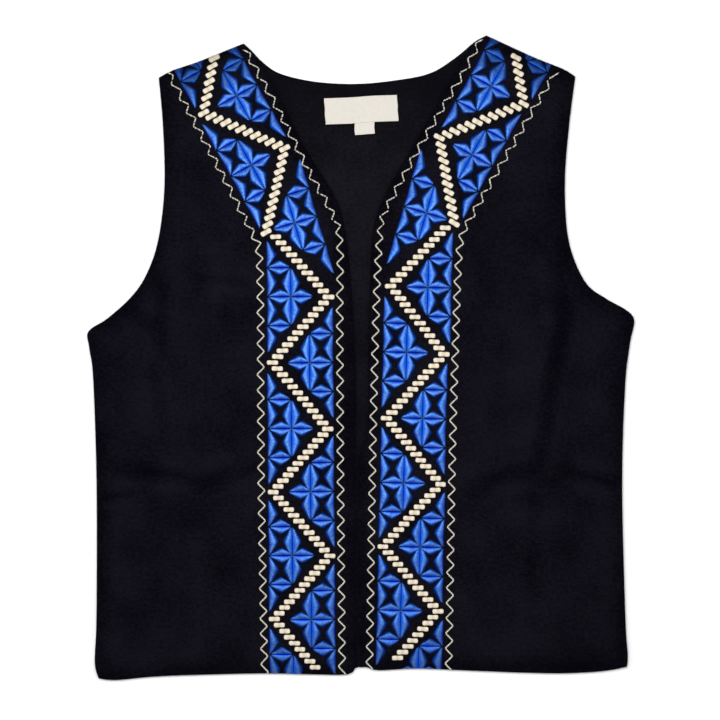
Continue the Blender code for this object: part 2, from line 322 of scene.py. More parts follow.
def clamped(tree, value):
    """A value held between 0 and 1."""
    return add_node(tree, "Clamp", {"Value": value}).outputs[0]


def noise_over(tree, place, scale, detail, roughness=0.5):
    """Soft noise over a place, from 0 to 1."""
    values = {"Vector": place, "Scale": scale, "Detail": detail, "Roughness": roughness}
    return add_node(tree, "TexNoise", values).outputs[0]


def stretched(tree, axes, stretch):
    """A place whose three axes are scaled by these numbers."""
    scaled = (maths(tree, "MULTIPLY", axis, number) for axis, number in zip(axes, stretch))
    return add_node(tree, "CombineXYZ", dict(zip("XYZ", scaled))).outputs[0]


def mixed(tree, share, first, second):
    """The colour that a Mix node puts out."""
    node = add_node(tree, "Mix", {"Factor": share}, data_type="RGBA")
    for socket, value in zip((node.inputs[6], node.inputs[7]), (first, second)):
        if isinstance(value, bpy.types.NodeSocket):
            tree.links.new(value, socket)
        else:
            socket.default_value = (*value, 1)
    return node.outputs[2]


def new_group(name, inputs, outputs):
    """A shader node group with sockets of these names and kinds."""
    tree = bpy.data.node_groups.new(name, "ShaderNodeTree")
    for socket, (kind, value) in inputs.items():
        made = tree.interface.new_socket(socket, in_out="INPUT", socket_type="NodeSocket" + kind)
        made.default_value = value
    for socket, kind in outputs.items():
        tree.interface.new_socket(socket, in_out="OUTPUT", socket_type="NodeSocket" + kind)
    return tree, tree.nodes.new("NodeGroupInput").outputs, tree.nodes.new("NodeGroupOutput").inputs


# Brushed cloth: a fine plain weave under a short nap that lies across the vest, in soft clumps
CLUMP_SIZE = 2.0 * MM
FIBRE_SIZE = 0.5 * MM
PATCH_SIZE = 30 * MM
CLUMP_GAIN = 1.6
FIBRE_GAIN = 2.6
PATCH_GAIN = 1.2
WEAVE_GAIN = 0.12
WEAVE_RISE = 0.3
FIBRE_RISE = 0.8
brushed_cloth, ins, outs = new_group(
    "Brushed cloth",
    {
        "Colour": ("Color", (0.01, 0.01, 0.014, 1)),
        "Fibre Colour": ("Color", (0.03, 0.03, 0.035, 1)),
        "Fibres": ("Float", 0.5),
        "Weave Step": ("Float", 0.8 * MM),
        "Nap Stretch": ("Float", 0.5),
    },
    {"Colour": "Color", "Height": "Float"},
)
place = add_node(brushed_cloth, "TexCoord").outputs["Object"]
axes = add_node(brushed_cloth, "SeparateXYZ", {0: place}).outputs
napped = add_node(
    brushed_cloth,
    "CombineXYZ",
    {"X": maths(brushed_cloth, "MULTIPLY", axes[0], ins["Nap Stretch"]), "Y": axes[1]},
).outputs[0]
clumps = noise_over(brushed_cloth, napped, 1 / CLUMP_SIZE, 3.0, 0.6)
fibres = noise_over(brushed_cloth, napped, 1 / FIBRE_SIZE, 2.0, 0.7)
patches = noise_over(brushed_cloth, place, 1 / PATCH_SIZE, 2.0)
waves = []
for axis in (axes[0], axes[1]):
    turns = maths(brushed_cloth, "DIVIDE", axis, ins["Weave Step"])
    waves.append(maths(brushed_cloth, "SINE", maths(brushed_cloth, "MULTIPLY", turns, 2 * math.pi)))
weave = maths(brushed_cloth, "MULTIPLY", *waves)
light = maths(brushed_cloth, "MULTIPLY", maths(brushed_cloth, "SUBTRACT", clumps, 0.5), CLUMP_GAIN)
for pattern, gain in ((fibres, FIBRE_GAIN), (patches, PATCH_GAIN)):
    offset = maths(brushed_cloth, "SUBTRACT", pattern, 0.5)
    light = maths(brushed_cloth, "ADD", light, maths(brushed_cloth, "MULTIPLY", offset, gain))
light = maths(brushed_cloth, "ADD", light, maths(brushed_cloth, "MULTIPLY", weave, WEAVE_GAIN))
share = clamped(brushed_cloth, maths(brushed_cloth, "ADD", light, ins["Fibres"]))
brushed_cloth.links.new(mixed(brushed_cloth, share, ins["Colour"], ins["Fibre Colour"]), outs["Colour"])
height = maths(brushed_cloth, "MULTIPLY", weave, WEAVE_RISE)
for pattern, gain in ((clumps, 1.0), (fibres, FIBRE_RISE)):
    height = maths(brushed_cloth, "ADD", height, maths(brushed_cloth, "MULTIPLY", pattern, gain))
brushed_cloth.links.new(height, outs["Height"])


def finish(name, base_colour, roughness, bump=None, bump_depth=0.0, **shader_values):
    """A material whose Principled shader gets this colour output, bump and constant values."""
    material = bpy.data.materials[name]
    tree = material.node_tree
    shader = tree.nodes["Principled BSDF"]
    tree.links.new(base_colour, shader.inputs["Base Color"])
    shader.inputs["Roughness"].default_value = roughness
    for socket, value in shader_values.items():
        shader.inputs[socket.replace("_", " ")].default_value = value
    if bump:
        relief = add_node(tree, "Bump", {"Height": bump, "Distance": bump_depth})
        tree.links.new(relief.outputs[0], shader.inputs["Normal"])
    return material


def blank(name):
    """A new material with nodes, and its node tree."""
    material = bpy.data.materials.new(name)
    material.use_nodes = True
    return material.node_tree


def brushed_material(name, colour, fibre, weave_step, nap_stretch, nap_depth):
    """Brushed cloth in these colours."""
    tree = blank(name)
    cloth = tree.nodes.new("ShaderNodeGroup")
    cloth.node_tree = brushed_cloth
    cloth.inputs["Colour"].default_value = (*colour, 1)
    cloth.inputs["Fibre Colour"].default_value = (*fibre, 1)
    cloth.inputs["Weave Step"].default_value = weave_step
    cloth.inputs["Nap Stretch"].default_value = nap_stretch
    # Painted shade and light, kept on the piece's points: above 0 the cloth takes less fibre colour and
    # is darker, below 0 it is lighter.
    painted_shade_and_light = add_node(tree, "Attribute", attribute_name="painted_shade_and_light").outputs["Fac"]
    tree.links.new(maths(tree, "SUBTRACT", 0.5, painted_shade_and_light), cloth.inputs["Fibres"])
    return finish(
        name,
        cloth.outputs["Colour"],
        0.95,
        cloth.outputs["Height"],
        nap_depth,
        Specular_IOR_Level=0.0,
        Sheen_Weight=0.015,
        Sheen_Roughness=0.55,
        Sheen_Tint=(0.55, 0.56, 0.72, 1),
    )


def lying_flat(places):
    return np.zeros(len(places))


def even_wall(wall):
    """The same wall at every place."""
    return lambda places: np.full(len(places), wall)


inside_cloth = brushed_material("Inside of the cloth", BACK_COLOUR, BACK_FIBRE, 0.9 * MM, 0.8, 0.15 * MM)
back, back_area = cloth_shell(
    "back_cloth", back_outline(), BACK_SPACING, lying_flat, even_wall(WALL), inside_cloth
)
back_y = points_of(back)[:, 1]
# Painted shade on the inside of the back: darker down the slit between the fronts and towards the neck.
down_the_slit = np.clip((SLIT_TOP - back_y) / SLIT_REACH, 0, 1)
up_to_the_neck = np.clip((back_y - NECK_START) / NECK_REACH, 0, 1)
give_values(back, "painted_shade_and_light", SLIT_SHADE * down_the_slit + NECK_SHADE * up_to_the_neck)
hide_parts("back")

# Fronts. Each is one cut of the same cloth, laid on the back and lofted a little above it, with
# the creases that folding left at the waist and down the chest. The edges are turned in, so they
# are round, and the cloth rolls over towards the shoulder seam and the hem.
FRONT_SPACING = 2.2 * MM
LOFT = 1.6 * MM
LOFT_REACH = 26 * MM
RIDGE_OUT = 1.45
RIDGE_SHARE = 0.45
RIDGE_NARROW = 2.5
FOLD_END = 0.15
SWELL = 0.5 * MM
SWELL_SIZE = 46 * MM
SWELL_SEED = 3.0
RIPPLE = 0.22 * MM
RIPPLE_SIZE = 13 * MM
RIPPLE_SEED = 7.0
THIN_WALL = 0.9 * MM
SHOULDER_ROLL = 26 * MM
HEM_ROLL = 14 * MM
ROLL_STEP = 0.8 * MM
CREASE_PAINTED_SHADE = 0.38 / MM
EDGE_PAINTED_SHADE = 0.36
EDGE_PAINTED_SHADE_REACH = 14 * MM
CLOTH_COLOUR = (0.0014, 0.0011, 0.0027)
CLOTH_FIBRE = (0.0076, 0.0070, 0.0112)

FRONT_EDGE = (
    Point("neck point", -77.8, 420.1, 82.3, 425.4),
    Point("on the back neck", -66.3, 407.8, 70.0, 416.8),
    Point("top of the V", -54.4, 385.8, 58.3, 396.0),
    Point("middle of the V", -39.3, 354.9, 33.2, 351.6),
    Point("bottom of the V", -17.5, 318.6, 17.4, 324.6),
    Point("top of the slit", -10.9, 296.9, 8.0, 300.0),
    Point("upper slit", -7.6, 270.5, 5.4, 264.0),
    Point("middle of the slit", -5.0, 231.0, 4.2, 218.0),
    Point("lower slit", -3.8, 191.4, 3.7, 176.0),
    Point("end of the slit", -3.7, 164.0, 2.4, 161.0),
    Point("fronts meet", -3.7, 150.0, -1.6, 151.0),
    Point("below the slit", -3.7, 140.0, -2.8, 142.0),
    Point("skirt", -3.8, 80.0, -2.9, 80.0),
    Point("above the hem", -3.8, 16.0, -3.0, 16.0),
)

# Folds and creases: a trough from one place to the other, its half width and its depth
Fold = namedtuple("Fold", "place x_1 up_1 x_2 up_2 half_width depth")
FOLDS = {
    LEFT: (
        Fold("side of the waist", -172.0, 119.0, -150.0, 123.5, 4.0, 0.6),
        Fold("waist, outer", -168.0, 140.5, -115.0, 134.5, 6.0, 0.6),
        Fold("waist, inner", -110.0, 128.0, -70.0, 141.0, 7.0, 0.8),
        Fold("rise between the waist folds", -141.0, 127.5, -120.0, 128.5, 6.0, -0.35),
        Fold("rise above the inner waist", -104.0, 143.0, -86.0, 147.0, 6.0, -0.4),
        Fold("down the skirt", -108.5, 97.0, -108.0, 10.0, 5.0, -0.25),
        Fold("below the armhole", -131.5, 267.0, -132.2, 215.0, 5.5, 0.5),
        Fold("in from the armhole", -152.6, 244.2, -136.0, 231.0, 6.0, 0.5),
        Fold("down the chest", -138.3, 209.0, -131.7, 174.0, 5.0, 0.5),
        Fold("beside the band", -103.0, 265.5, -73.5, 261.7, 4.0, 0.5),
        Fold("short fold on the chest", -88.9, 254.0, -91.1, 237.0, 5.0, 0.4),
        Fold("above the waist", -110.9, 168.0, -106.5, 149.0, 5.0, 0.4),
        Fold("rise on the chest", -118.5, 270.0, -120.0, 212.0, 9.0, -0.4),
        Fold("rise by the armhole", -96.0, 288.0, -95.0, 252.0, 11.0, -0.6),
        Fold("rise above the waist", -101.0, 161.0, -98.0, 146.0, 9.0, -0.35),
        Fold("between the waist folds", -124.9, 136.7, -110.5, 131.5, 3.5, 0.4),
        Fold("up to the band", -82.0, 132.0, -70.2, 141.4, 3.5, 0.4),
        Fold("sharp line at the side", -173.0, 119.0, -155.0, 122.4, 1.8, 0.4),
    ),
    RIGHT: (
        Fold("waist, inner", 70.0, 121.5, 90.0, 135.0, 7.0, 0.7),
        Fold("waist, middle", 88.0, 134.0, 116.0, 139.0, 6.0, 0.7),
        Fold("rise below the waist", 92.0, 113.0, 104.0, 101.0, 9.0, -0.45),
        Fold("rise at the side of the waist", 140.0, 123.0, 150.0, 125.0, 7.0, -0.3),
        Fold("waist, outer", 132.0, 141.0, 167.0, 129.0, 6.0, 0.8),
        Fold("below the armhole", 128.0, 278.0, 134.0, 234.0, 7.0, 0.8),
        Fold("upper chest", 134.0, 238.0, 126.5, 206.0, 6.0, 0.7),
        Fold("down the chest", 127.4, 211.2, 116.2, 141.0, 6.0, 0.8),
        Fold("rise at the side", 151.0, 232.0, 149.0, 180.0, 11.0, -0.6),
        Fold("rise on the chest", 112.0, 236.0, 105.0, 160.0, 12.0, -0.6),
        Fold("down the skirt", 114.0, 122.0, 113.0, 80.0, 6.0, 0.5),
        Fold("between the waist folds", 114.3, 129.5, 132.1, 131.5, 3.5, 0.4),
        Fold("beside the band", 79.3, 247.5, 94.5, 244.8, 3.0, 0.3),
        Fold("foot of the skirt fold", 112.9, 82.0, 113.0, 30.0, 5.0, 0.25),
        Fold("sharp line at the side", 140.0, 138.0, 165.0, 129.5, 1.8, 0.4),
    ),
}


def front_outline(side):
    """The outline of a front: side, shoulder, neck edge, centre front and hem."""
    outline = side_edge(side)[:-1] + table_curve(FRONT_EDGE + HEM, side)[:-1]
    return outline if side == RIGHT else outline[::-1]


def soft_step(value):
    value = np.clip(value, 0, 1)
    return value * value * (3 - 2 * value)


def folded_by(fold, places):
    """How deep a fold lies at each place, with a soft ridge on each side of its trough."""
    start = np.array(on_vest(fold.x_1, fold.up_1))
    along = np.array(on_vest(fold.x_2, fold.up_2)) - start
    offset = np.asarray(places) - start
    share = offset @ along / (along @ along)
    beside = (offset[:, 0] * along[1] - offset[:, 1] * along[0]) / np.linalg.norm(along)
    beside /= fold.half_width * MM
    ridges = np.exp(-((np.abs(beside) - RIDGE_OUT) ** 2) * RIDGE_NARROW)
    section = np.exp(-(beside**2)) - RIDGE_SHARE * ridges
    ends = soft_step((np.minimum(share, 1 - share) + FOLD_END) / (2 * FOLD_END))
    return fold.depth * MM * section * ends


def uneven(places, size, seed):
    """Soft uneven swells of this size, from -1 to 1."""
    return np.array([noise.noise((x / size, y / size, seed)) for x, y in places])


def front_underside(side):
    """The height of a front's underside, which lies on the back at its edges."""
    outline = front_outline(side)

    def underside_at(places):
        within = soft_step(distance_inside(places, outline) / LOFT_REACH)
        height = LOFT * within
        for fold in FOLDS[side]:
            height = height - folded_by(fold, places)
        height = height + SWELL * within * uneven(places, SWELL_SIZE, SWELL_SEED + side)
        height = height + RIPPLE * within * uneven(places, RIPPLE_SIZE, RIPPLE_SEED + side)
        return WALL + SEAM_GAP + np.maximum(height, 0)

    return underside_at


def front_painted_shade_and_light(side, places):
    """The painted shade of the cloth at each place: darker in a fold's trough and where it turns at its
    edge, lighter on the ridges beside a fold and on a rise.
    """
    inside = distance_inside(places, front_outline(side))
    depth = sum(folded_by(fold, places) for fold in FOLDS[side])
    return CREASE_PAINTED_SHADE * depth + EDGE_PAINTED_SHADE * (1 - soft_step(inside / EDGE_PAINTED_SHADE_REACH))


def front_wall(side):
    """The wall of a front, which thins in a round curve towards the shoulder seam and the hem."""
    shoulder = np.array(smooth(table_curve(SHOULDER, side), ROLL_STEP))
    hem = np.array(smooth(table_curve(HEM, side), ROLL_STEP))

    def wall_at(places):
        places = np.asarray(places)
        full = np.ones(len(places))
        for path, reach in ((shoulder, SHOULDER_ROLL), (hem, HEM_ROLL)):
            distance = np.linalg.norm(places[:, None, :] - path[None, :, :], axis=2).min(1)
            short = 1 - np.clip(distance / reach, 0, 1)
            full = np.minimum(full, np.sqrt(1 - short**2))
        return THIN_WALL + (WALL - THIN_WALL) * full

    return wall_at


outside_cloth = brushed_material(
    "Outside of the cloth", CLOTH_COLOUR, CLOTH_FIBRE, 0.8 * MM, 0.75, 0.3 * MM
)
fronts = {}
for side, word in SIDES:
    piece, area = cloth_shell(
        f"front_{word}_cloth",
        front_outline(side),
        FRONT_SPACING,
        front_underside(side),
        front_wall(side),
        outside_cloth,
    )
    # Painted shade in the folds' troughs and along the edges, painted light on their ridges and on the
    # rises.
    give_values(piece, "painted_shade_and_light", front_painted_shade_and_light(side, points_of(piece)))
    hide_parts(f"front_{word}")
    fronts[side] = piece

# Neck label and size label. Two woven satin tapes with turned ends, sewn to the inside of the
# back below the neck; the small one hangs from under the large one. Both are bare.
LABEL_SIZE = (48.2 * MM, 17.3 * MM)
LABEL_PLACE = (-0.2 * MM, 376.4 * MM - BODY_LENGTH / 2)
TAB_SIZE = (13.2 * MM, 11.2 * MM)
TAB_PLACE = (1.9 * MM, 365.7 * MM - BODY_LENGTH / 2)
LABEL_TURN = math.radians(3.1)
LABEL_WALL = 0.6 * MM
TAB_WALL = 0.45 * MM
LABEL_BOW = 0.3 * MM
LABEL_GAP = 0.1 * MM
TAB_LIFT_REACH = 3 * MM
LABEL_SPACING = 1.0 * MM
LABEL_COLOUR = (0.70, 0.67, 0.61)
LABEL_SHADE = (0.56, 0.52, 0.455)
LABEL_RIB = 0.45 * MM
YARN_SCALE = 420.0
RIB_SHADE = 0.18
YARN_SHADE = 0.45
END_WAVE = 0.12 * MM
END_WAVES = 700
SIDE_WAVE = 0.15 * MM
SIDE_WAVES = 190


def label_outline(size, place):
    """The edge of a label, turned as it lies, with slightly uneven sides."""
    half = size[0] / 2, size[1] / 2
    corners = [(-half[0], -half[1]), (half[0], -half[1]), (half[0], half[1]), (-half[0], half[1])]
    edge = []
    for start, end in zip(corners, corners[1:] + corners[:1]):
        pieces = round(math.dist(start, end) / LABEL_SPACING)
        for piece in range(pieces):
            t = piece / pieces
            edge.append((start[0] + (end[0] - start[0]) * t, start[1] + (end[1] - start[1]) * t))
    turned = []
    for x, y in edge:
        x, y = x + END_WAVE * math.sin(y * END_WAVES), y + SIDE_WAVE * math.sin(x * SIDE_WAVES)
        turned.append(
            (
                place[0] + x * math.cos(LABEL_TURN) - y * math.sin(LABEL_TURN),
                place[1] + x * math.sin(LABEL_TURN) + y * math.cos(LABEL_TURN),
            )
        )
    return turned


tree = blank("Woven label")
place = add_node(tree, "TexCoord").outputs["Object"]
axes = add_node(tree, "SeparateXYZ", {0: place}).outputs
ribs = maths(tree, "SINE", maths(tree, "MULTIPLY", axes[1], 2 * math.pi / LABEL_RIB))
uneven_yarn = noise_over(tree, place, YARN_SCALE, 3.0)
shade = maths(tree, "MULTIPLY", maths(tree, "ADD", ribs, 1.0), RIB_SHADE)
shade = maths(tree, "ADD", shade, maths(tree, "MULTIPLY", uneven_yarn, YARN_SHADE))
woven_label = finish(
    "Woven label",
    mixed(tree, shade, LABEL_COLOUR, LABEL_SHADE),
    0.55,
    maths(tree, "ADD", ribs, uneven_yarn),
    0.05 * MM,
    Specular_IOR_Level=0.35,
)


def over_back(places):
    return np.full(len(places), WALL + LABEL_GAP)


def over_tab(places):
    """The height of the neck label's underside: bowed in its middle, lifted over the size label."""
    places = np.asarray(places)
    offset = np.abs(places - LABEL_PLACE) / (np.array(LABEL_SIZE) / 2)
    bow = np.clip(1 - offset**2, 0, 1).prod(1)
    beyond = np.abs(places - TAB_PLACE) - np.array(TAB_SIZE) / 2
    lift = soft_step(1 - beyond / TAB_LIFT_REACH).prod(1) * (TAB_WALL + LABEL_GAP)
    return over_back(places) + np.maximum(LABEL_BOW * bow, lift)


for name, node, size, place, underside_at, wall in (
    ("label_neck", "neck_label", LABEL_SIZE, LABEL_PLACE, over_tab, LABEL_WALL),
    ("label_size", "size_label", TAB_SIZE, TAB_PLACE, over_back, TAB_WALL),
):
    outline = label_outline(size, place)
    piece, area = cloth_shell(
        name, outline, LABEL_SPACING, underside_at, even_wall(wall), woven_label
    )
    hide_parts(node)
    min(area, size[0] * size[1])

# Blue satin stitches. On each front a band of charted petals: a rosette of four petals in each
# triangle between the zigzag's turns, two leaves beside it and flames along the band's edge. A
# petal is two pads of glossy thread, laid slanting from its vein to its border, and a flame one.
THREAD_STEP = 0.4 * MM
PAD_SHARES = (0.0, 0.1, 0.3, 0.6, 0.85, 1.0)
PAD_BASE = -0.15 * MM
PAD_LEAST = 0.16 * MM
PAD_RISE = 0.085
THREAD_CROWN = 0.05 * MM
PAD_FULLNESS = 0.75
LEAST_THREAD = 0.1 * MM
TONE_SPREAD = 0.9
SATIN_SEED = 40
VEIN_GAP = 0.01 * MM
VEIN_HEIGHT = 0.05 * MM
TIP_SHADE = 0.75
TIP_REACH = 0.2
THREAD_SLANT = 0.17
END_JITTER = 0.10 * MM
PEAK_SOFT = 0.14
BLUNT = 0.20
BLUNT_REACH = 0.06
MIDDLE = 15.4
FAR = 29.6
LEAF_ALONG = 19.1
TIP_ALONG = 36.6
LEANING_TIP_ALONG = 39.4
INNER_ACROSS = -0.4
OUTER_ACROSS = -0.8
TIP_ACROSS = -0.4
SHADE_REACH = 30 * MM
SHADE_LEAST = 0.25

# One cell's chart, in millimetres along the band from its rosette and across it from the edge
# A petal's vein is 1 where its vein gets a painted highlight, and -1 for a flame, whose straight side
# gets painted shade.
Petal = namedtuple("Petal", "place along_1 across_1 along_2 across_2 half_width widest halves vein")
PETALS = (
    Petal("to the far side", 0.0, MIDDLE - 0.4, 0.0, FAR, 5.7, 0.50, 2, 0.0),
    Petal("to the edge", 0.0, MIDDLE + 0.4, 0.0, 0.7, 5.7, 0.50, 2, 0.0),
    Petal("up the band", -0.4, MIDDLE, LEAF_ALONG - 0.6, MIDDLE, 6.6, 0.52, 2, 1.0),
    Petal("leaf", LEAF_ALONG, MIDDLE - 0.7, LEAF_ALONG, 0.7, 5.7, 0.50, 2, 0.0),
    Petal("inner flame", 0.5, INNER_ACROSS, LEAF_ALONG - 0.4, INNER_ACROSS, 7.4, 0.50, 1, -1.0),
    Petal("outer flame", LEAF_ALONG + 0.4, OUTER_ACROSS, TIP_ALONG, TIP_ACROSS, 7.3, 0.48, 1, -1.0),
)
TWICE = ("up the band", "leaf", "inner flame", "outer flame")

# Each rosette's middle, and how many degrees its band leans inwards going down. The bands' edge
# with the cell's base is the outer one and the inner one in turn.
Cell = namedtuple("Cell", "left_x left_up left_lean right_x right_up right_lean")
CELLS = (
    Cell(-115.1, 418.9, 29.0, 118.0, 424.9, 29.0),
    Cell(-82.4, 385.3, 29.0, 85.3, 391.4, 29.0),
    Cell(-72.6, 339.7, 29.0, 72.6, 346.3, 29.0),
    Cell(-44.2, 301.5, 16.5, 42.7, 308.0, 16.5),
    Cell(-46.6, 253.0, 0.5, 43.7, 259.0, 1.4),
    Cell(-34.2, 209.4, 0.5, 29.6, 216.2, 1.4),
    Cell(-46.2, 166.1, 0.5, 40.1, 172.7, 1.4),
    Cell(-33.6, 124.5, 0.5, 27.7, 130.2, 1.4),
    Cell(-45.6, 82.4, 0.5, 38.5, 88.0, 1.4),
    Cell(-33.0, 40.2, 0.5, 25.8, 46.2, 1.4),
    Cell(-44.8, -1.9, 0.5, 37.2, 3.7, 1.4),
)
LEANING_CELLS = 4


def loft(rings):
    """Points and faces of a closed body through rings of equally many points."""
    rings = np.asarray(rings)
    many, around = rings.shape[:2]
    corner = np.arange(around)
    after = (corner + 1) % around
    faces = []
    for ring in range(many - 1):
        low, high = ring * around, (ring + 1) * around
        faces += np.column_stack([low + corner, low + after, high + after, high + corner]).tolist()
    faces.append(list(range(around))[::-1])
    faces.append(list(range((many - 1) * around, many * around)))
    return rings.reshape(-1, 3), faces


def joined(bodies):
    """The points and faces of many bodies, as one mesh."""
    points, faces, start = [], [], 0
    for body_points, body_faces in bodies:
        points.append(body_points)
        faces += [[start + number for number in face] for face in body_faces]
        start += len(body_points)
    return np.concatenate(points), faces


def cloth_height(surface, place):
    """The height of the cloth at a place, or None off the cloth."""
    hit = surface.ray_cast(Vector((place[0], place[1], 1)), Vector((0, 0, -1)))[0]
    return None if hit is None else hit.z


# A thread is probed along its length, and its end at the edge of the cloth is found by halving
PROBES = 9
CUT_STEPS = 6


def stretch_on_cloth(surface, start, end):
    """The part of a thread that lies on the cloth, or None where all of it lies off it."""

    def covered(share):
        return cloth_height(surface, start.lerp(end, share)) is not None

    found = [probe for probe in range(PROBES) if covered(probe / (PROBES - 1))]
    if not found:
        return None
    ends = []
    for probe, way in ((found[0], -1), (found[-1], 1)):
        share = probe / (PROBES - 1)
        beyond = (probe + way) / (PROBES - 1)
        if 0 <= beyond <= 1:
            for _ in range(CUT_STEPS):
                middle = (share + beyond) / 2
                if covered(middle):
                    share = middle
                else:
                    beyond = middle
        ends.append(start.lerp(end, share))
    return ends


def petal_width(share, widest):
    """A petal's width along its length, as a share of the widest: blunt ends and a soft peak."""
    off = (share - widest) / (widest if share < widest else 1 - widest)
    full = math.sqrt(1 + PEAK_SOFT**2)
    width = (full - math.sqrt(off * off + PEAK_SOFT**2)) / (full - PEAK_SOFT)
    to_end = max(0.0, min(share, 1 - share))
    return BLUNT * math.sqrt(min(1.0, to_end / BLUNT_REACH)) + (1 - BLUNT) * max(0.0, width)


def satin_pad(surface, start, end, petal, way, draw):
    """One half of a petal: runs of rings, where on its thread each point lies and how light."""
    length = (end - start).length
    along = (end - start) / length
    beside = Vector((-along.y, along.x)) * way
    threads = round(length / THREAD_STEP)
    half_width = petal.half_width * MM
    tone = draw.uniform(0, TONE_SPREAD) + petal.vein
    runs = [[]]
    for row in range(2 * threads + 1):
        if row % 2 == 0:
            jitter = draw.uniform(-END_JITTER, END_JITTER)
        share = (row + 0.5) / (2 * threads + 1)
        border = share + THREAD_SLANT * math.sin(math.pi * share)
        width = half_width * petal_width(border, petal.widest)
        gap = min(VEIN_GAP, width / 4)
        thread = stretch_on_cloth(
            surface,
            start + along * length * share + beside * gap,
            start + along * length * border + beside * max(width + jitter, gap + LEAST_THREAD),
        )
        if thread is None:
            runs.append([])
            continue
        pad = PAD_LEAST + PAD_RISE * (thread[1] - thread[0]).length
        crown = THREAD_CROWN if row % 2 == 0 else 0.0
        ring = []
        for part in PAD_SHARES:
            place = thread[0].lerp(thread[1], part)
            swell = math.sin(math.pi * part) ** PAD_FULLNESS if 0 < part < 1 else 0.0
            height = (cloth_height(surface, place) or WALL) + (pad + crown) * swell
            if part == 0 and petal.halves == 2:
                height += VEIN_HEIGHT
            elif swell == 0:
                height += PAD_BASE
            # Painted shade towards the ends of a petal.
            tip = soft_step(min(share, 1 - share) / TIP_REACH)
            light = 1 - TIP_SHADE * (1 - tip)
            ring.append((place.x, place.y, height, row / 2, part, tone, light))
        runs[-1].append(ring)
    return [np.array(run) for run in runs if len(run) > 1]


def chart_of(cell, number, side):
    """Where a cell's chart lies: a function from its along and across to the vest."""
    x, up, lean = cell[:3] if side == LEFT else cell[3:]
    lean = math.radians(lean)
    middle = Vector(on_vest(x, up))
    down = Vector((-side * math.sin(lean), -math.cos(lean)))
    inward = Vector((-side * math.cos(lean), math.sin(lean)))
    across = inward if number % 2 == 0 else -inward

    def to_vest(along_mm, across_mm):
        return middle + down * along_mm * MM + across * (across_mm - MIDDLE) * MM

    # Which side of a stroke down the band faces away from the cell's base
    return to_vest, 1 if down.x * across.y - down.y * across.x > 0 else -1


SATIN_VEIN = (0.0003, 0.028, 0.55)
SATIN_PAINTED_VEIN_HIGHLIGHT = (0.004, 0.105, 0.72)
SATIN_LOW = (0.004, 0.024, 0.20)
SATIN_PAINTED_HIGHLIGHT = (0.062, 0.142, 0.385)
SATIN_PAINTED_EDGE_SHADE = (0.0004, 0.005, 0.080)
SATIN_SHADED = (0.001, 0.009, 0.085)
SATIN_GLOSS = (0.04, 0.45, 1.0, 1)
VEIN_SHARE = 0.26
VEIN_LIT_FROM = 0.95
SATIN_STRETCH = (0.27, 1.3, 40.0)
STREAK_FROM = 0.60
STREAK_GAIN = 3.0
STREAK_TONE = 0.7
tree = blank("Blue satin thread")
lay = add_node(tree, "Attribute", attribute_name="lay").outputs["Vector"]
thread_axes = add_node(tree, "SeparateXYZ", {0: lay}).outputs
# Across each pad, from its vein to its border, the ramp paints the light: a painted highlight over the
# pad's crown and painted shade towards its border, where the threads turn down into the cloth.
ramp = add_node(tree, "ValToRGB", {"Fac": thread_axes[1]})
stops = (
    (0.0, SATIN_VEIN),
    (0.07, SATIN_VEIN),
    (0.38, SATIN_PAINTED_HIGHLIGHT),
    (0.57, SATIN_PAINTED_HIGHLIGHT),
    (0.73, SATIN_LOW),
    (0.86, SATIN_PAINTED_EDGE_SHADE),
)
for number, (share, colour) in enumerate(stops):
    stop = ramp.color_ramp.elements[number] if number < 2 else ramp.color_ramp.elements.new(share)
    stop.position = share
    stop.color = (*colour, 1)
streaks = noise_over(tree, stretched(tree, thread_axes, SATIN_STRETCH), 1.0, 3.0, 0.65)
darker = maths(tree, "MULTIPLY", maths(tree, "SUBTRACT", STREAK_FROM, streaks), STREAK_GAIN)
darker = maths(tree, "MULTIPLY", clamped(tree, darker), STREAK_TONE)
thread_colour = mixed(tree, darker, ramp.outputs[0], SATIN_LOW)

# Where the threads lie across the vest, the vein between the two pads catches the light: a painted
# highlight. A flame
# has no vein: its straight side gets the same painted shade as its border. Near the shoulder seam all is
# in painted shade.
by_vein = maths(tree, "SUBTRACT", 1.0, maths(tree, "DIVIDE", thread_axes[1], VEIN_SHARE))
by_vein = clamped(tree, by_vein)
vein_painted_highlight = maths(tree, "MULTIPLY", by_vein, maths(tree, "GREATER_THAN", thread_axes[2], VEIN_LIT_FROM))
thread_colour = mixed(tree, vein_painted_highlight, thread_colour, SATIN_PAINTED_VEIN_HIGHLIGHT)
flame_side_painted_shade = maths(tree, "MULTIPLY", by_vein, maths(tree, "LESS_THAN", thread_axes[2], 0.0))
thread_colour = mixed(tree, flame_side_painted_shade, thread_colour, SATIN_PAINTED_EDGE_SHADE)
lit = add_node(tree, "Attribute", attribute_name="lit").outputs["Fac"]
blue_thread = finish(
    "Blue satin thread",
    mixed(tree, lit, SATIN_SHADED, thread_colour),
    0.42,
    streaks,
    0.06 * MM,
    Metallic=0.35,
    Specular_Tint=SATIN_GLOSS,
)


def from_seam(side, places):
    """How far each place lies from the shoulder seam."""
    seam = np.array(smooth(table_curve(SHOULDER, side), ROLL_STEP))
    return np.linalg.norm(places[:, None, :] - seam[None, :, :], axis=2).min(1)


def lit_near_seam(side, places, reach=SHADE_REACH):
    """How much light a stitch gets: less where the cloth turns away towards the shoulder seam."""
    return SHADE_LEAST + (1 - SHADE_LEAST) * soft_step(from_seam(side, places) / reach)


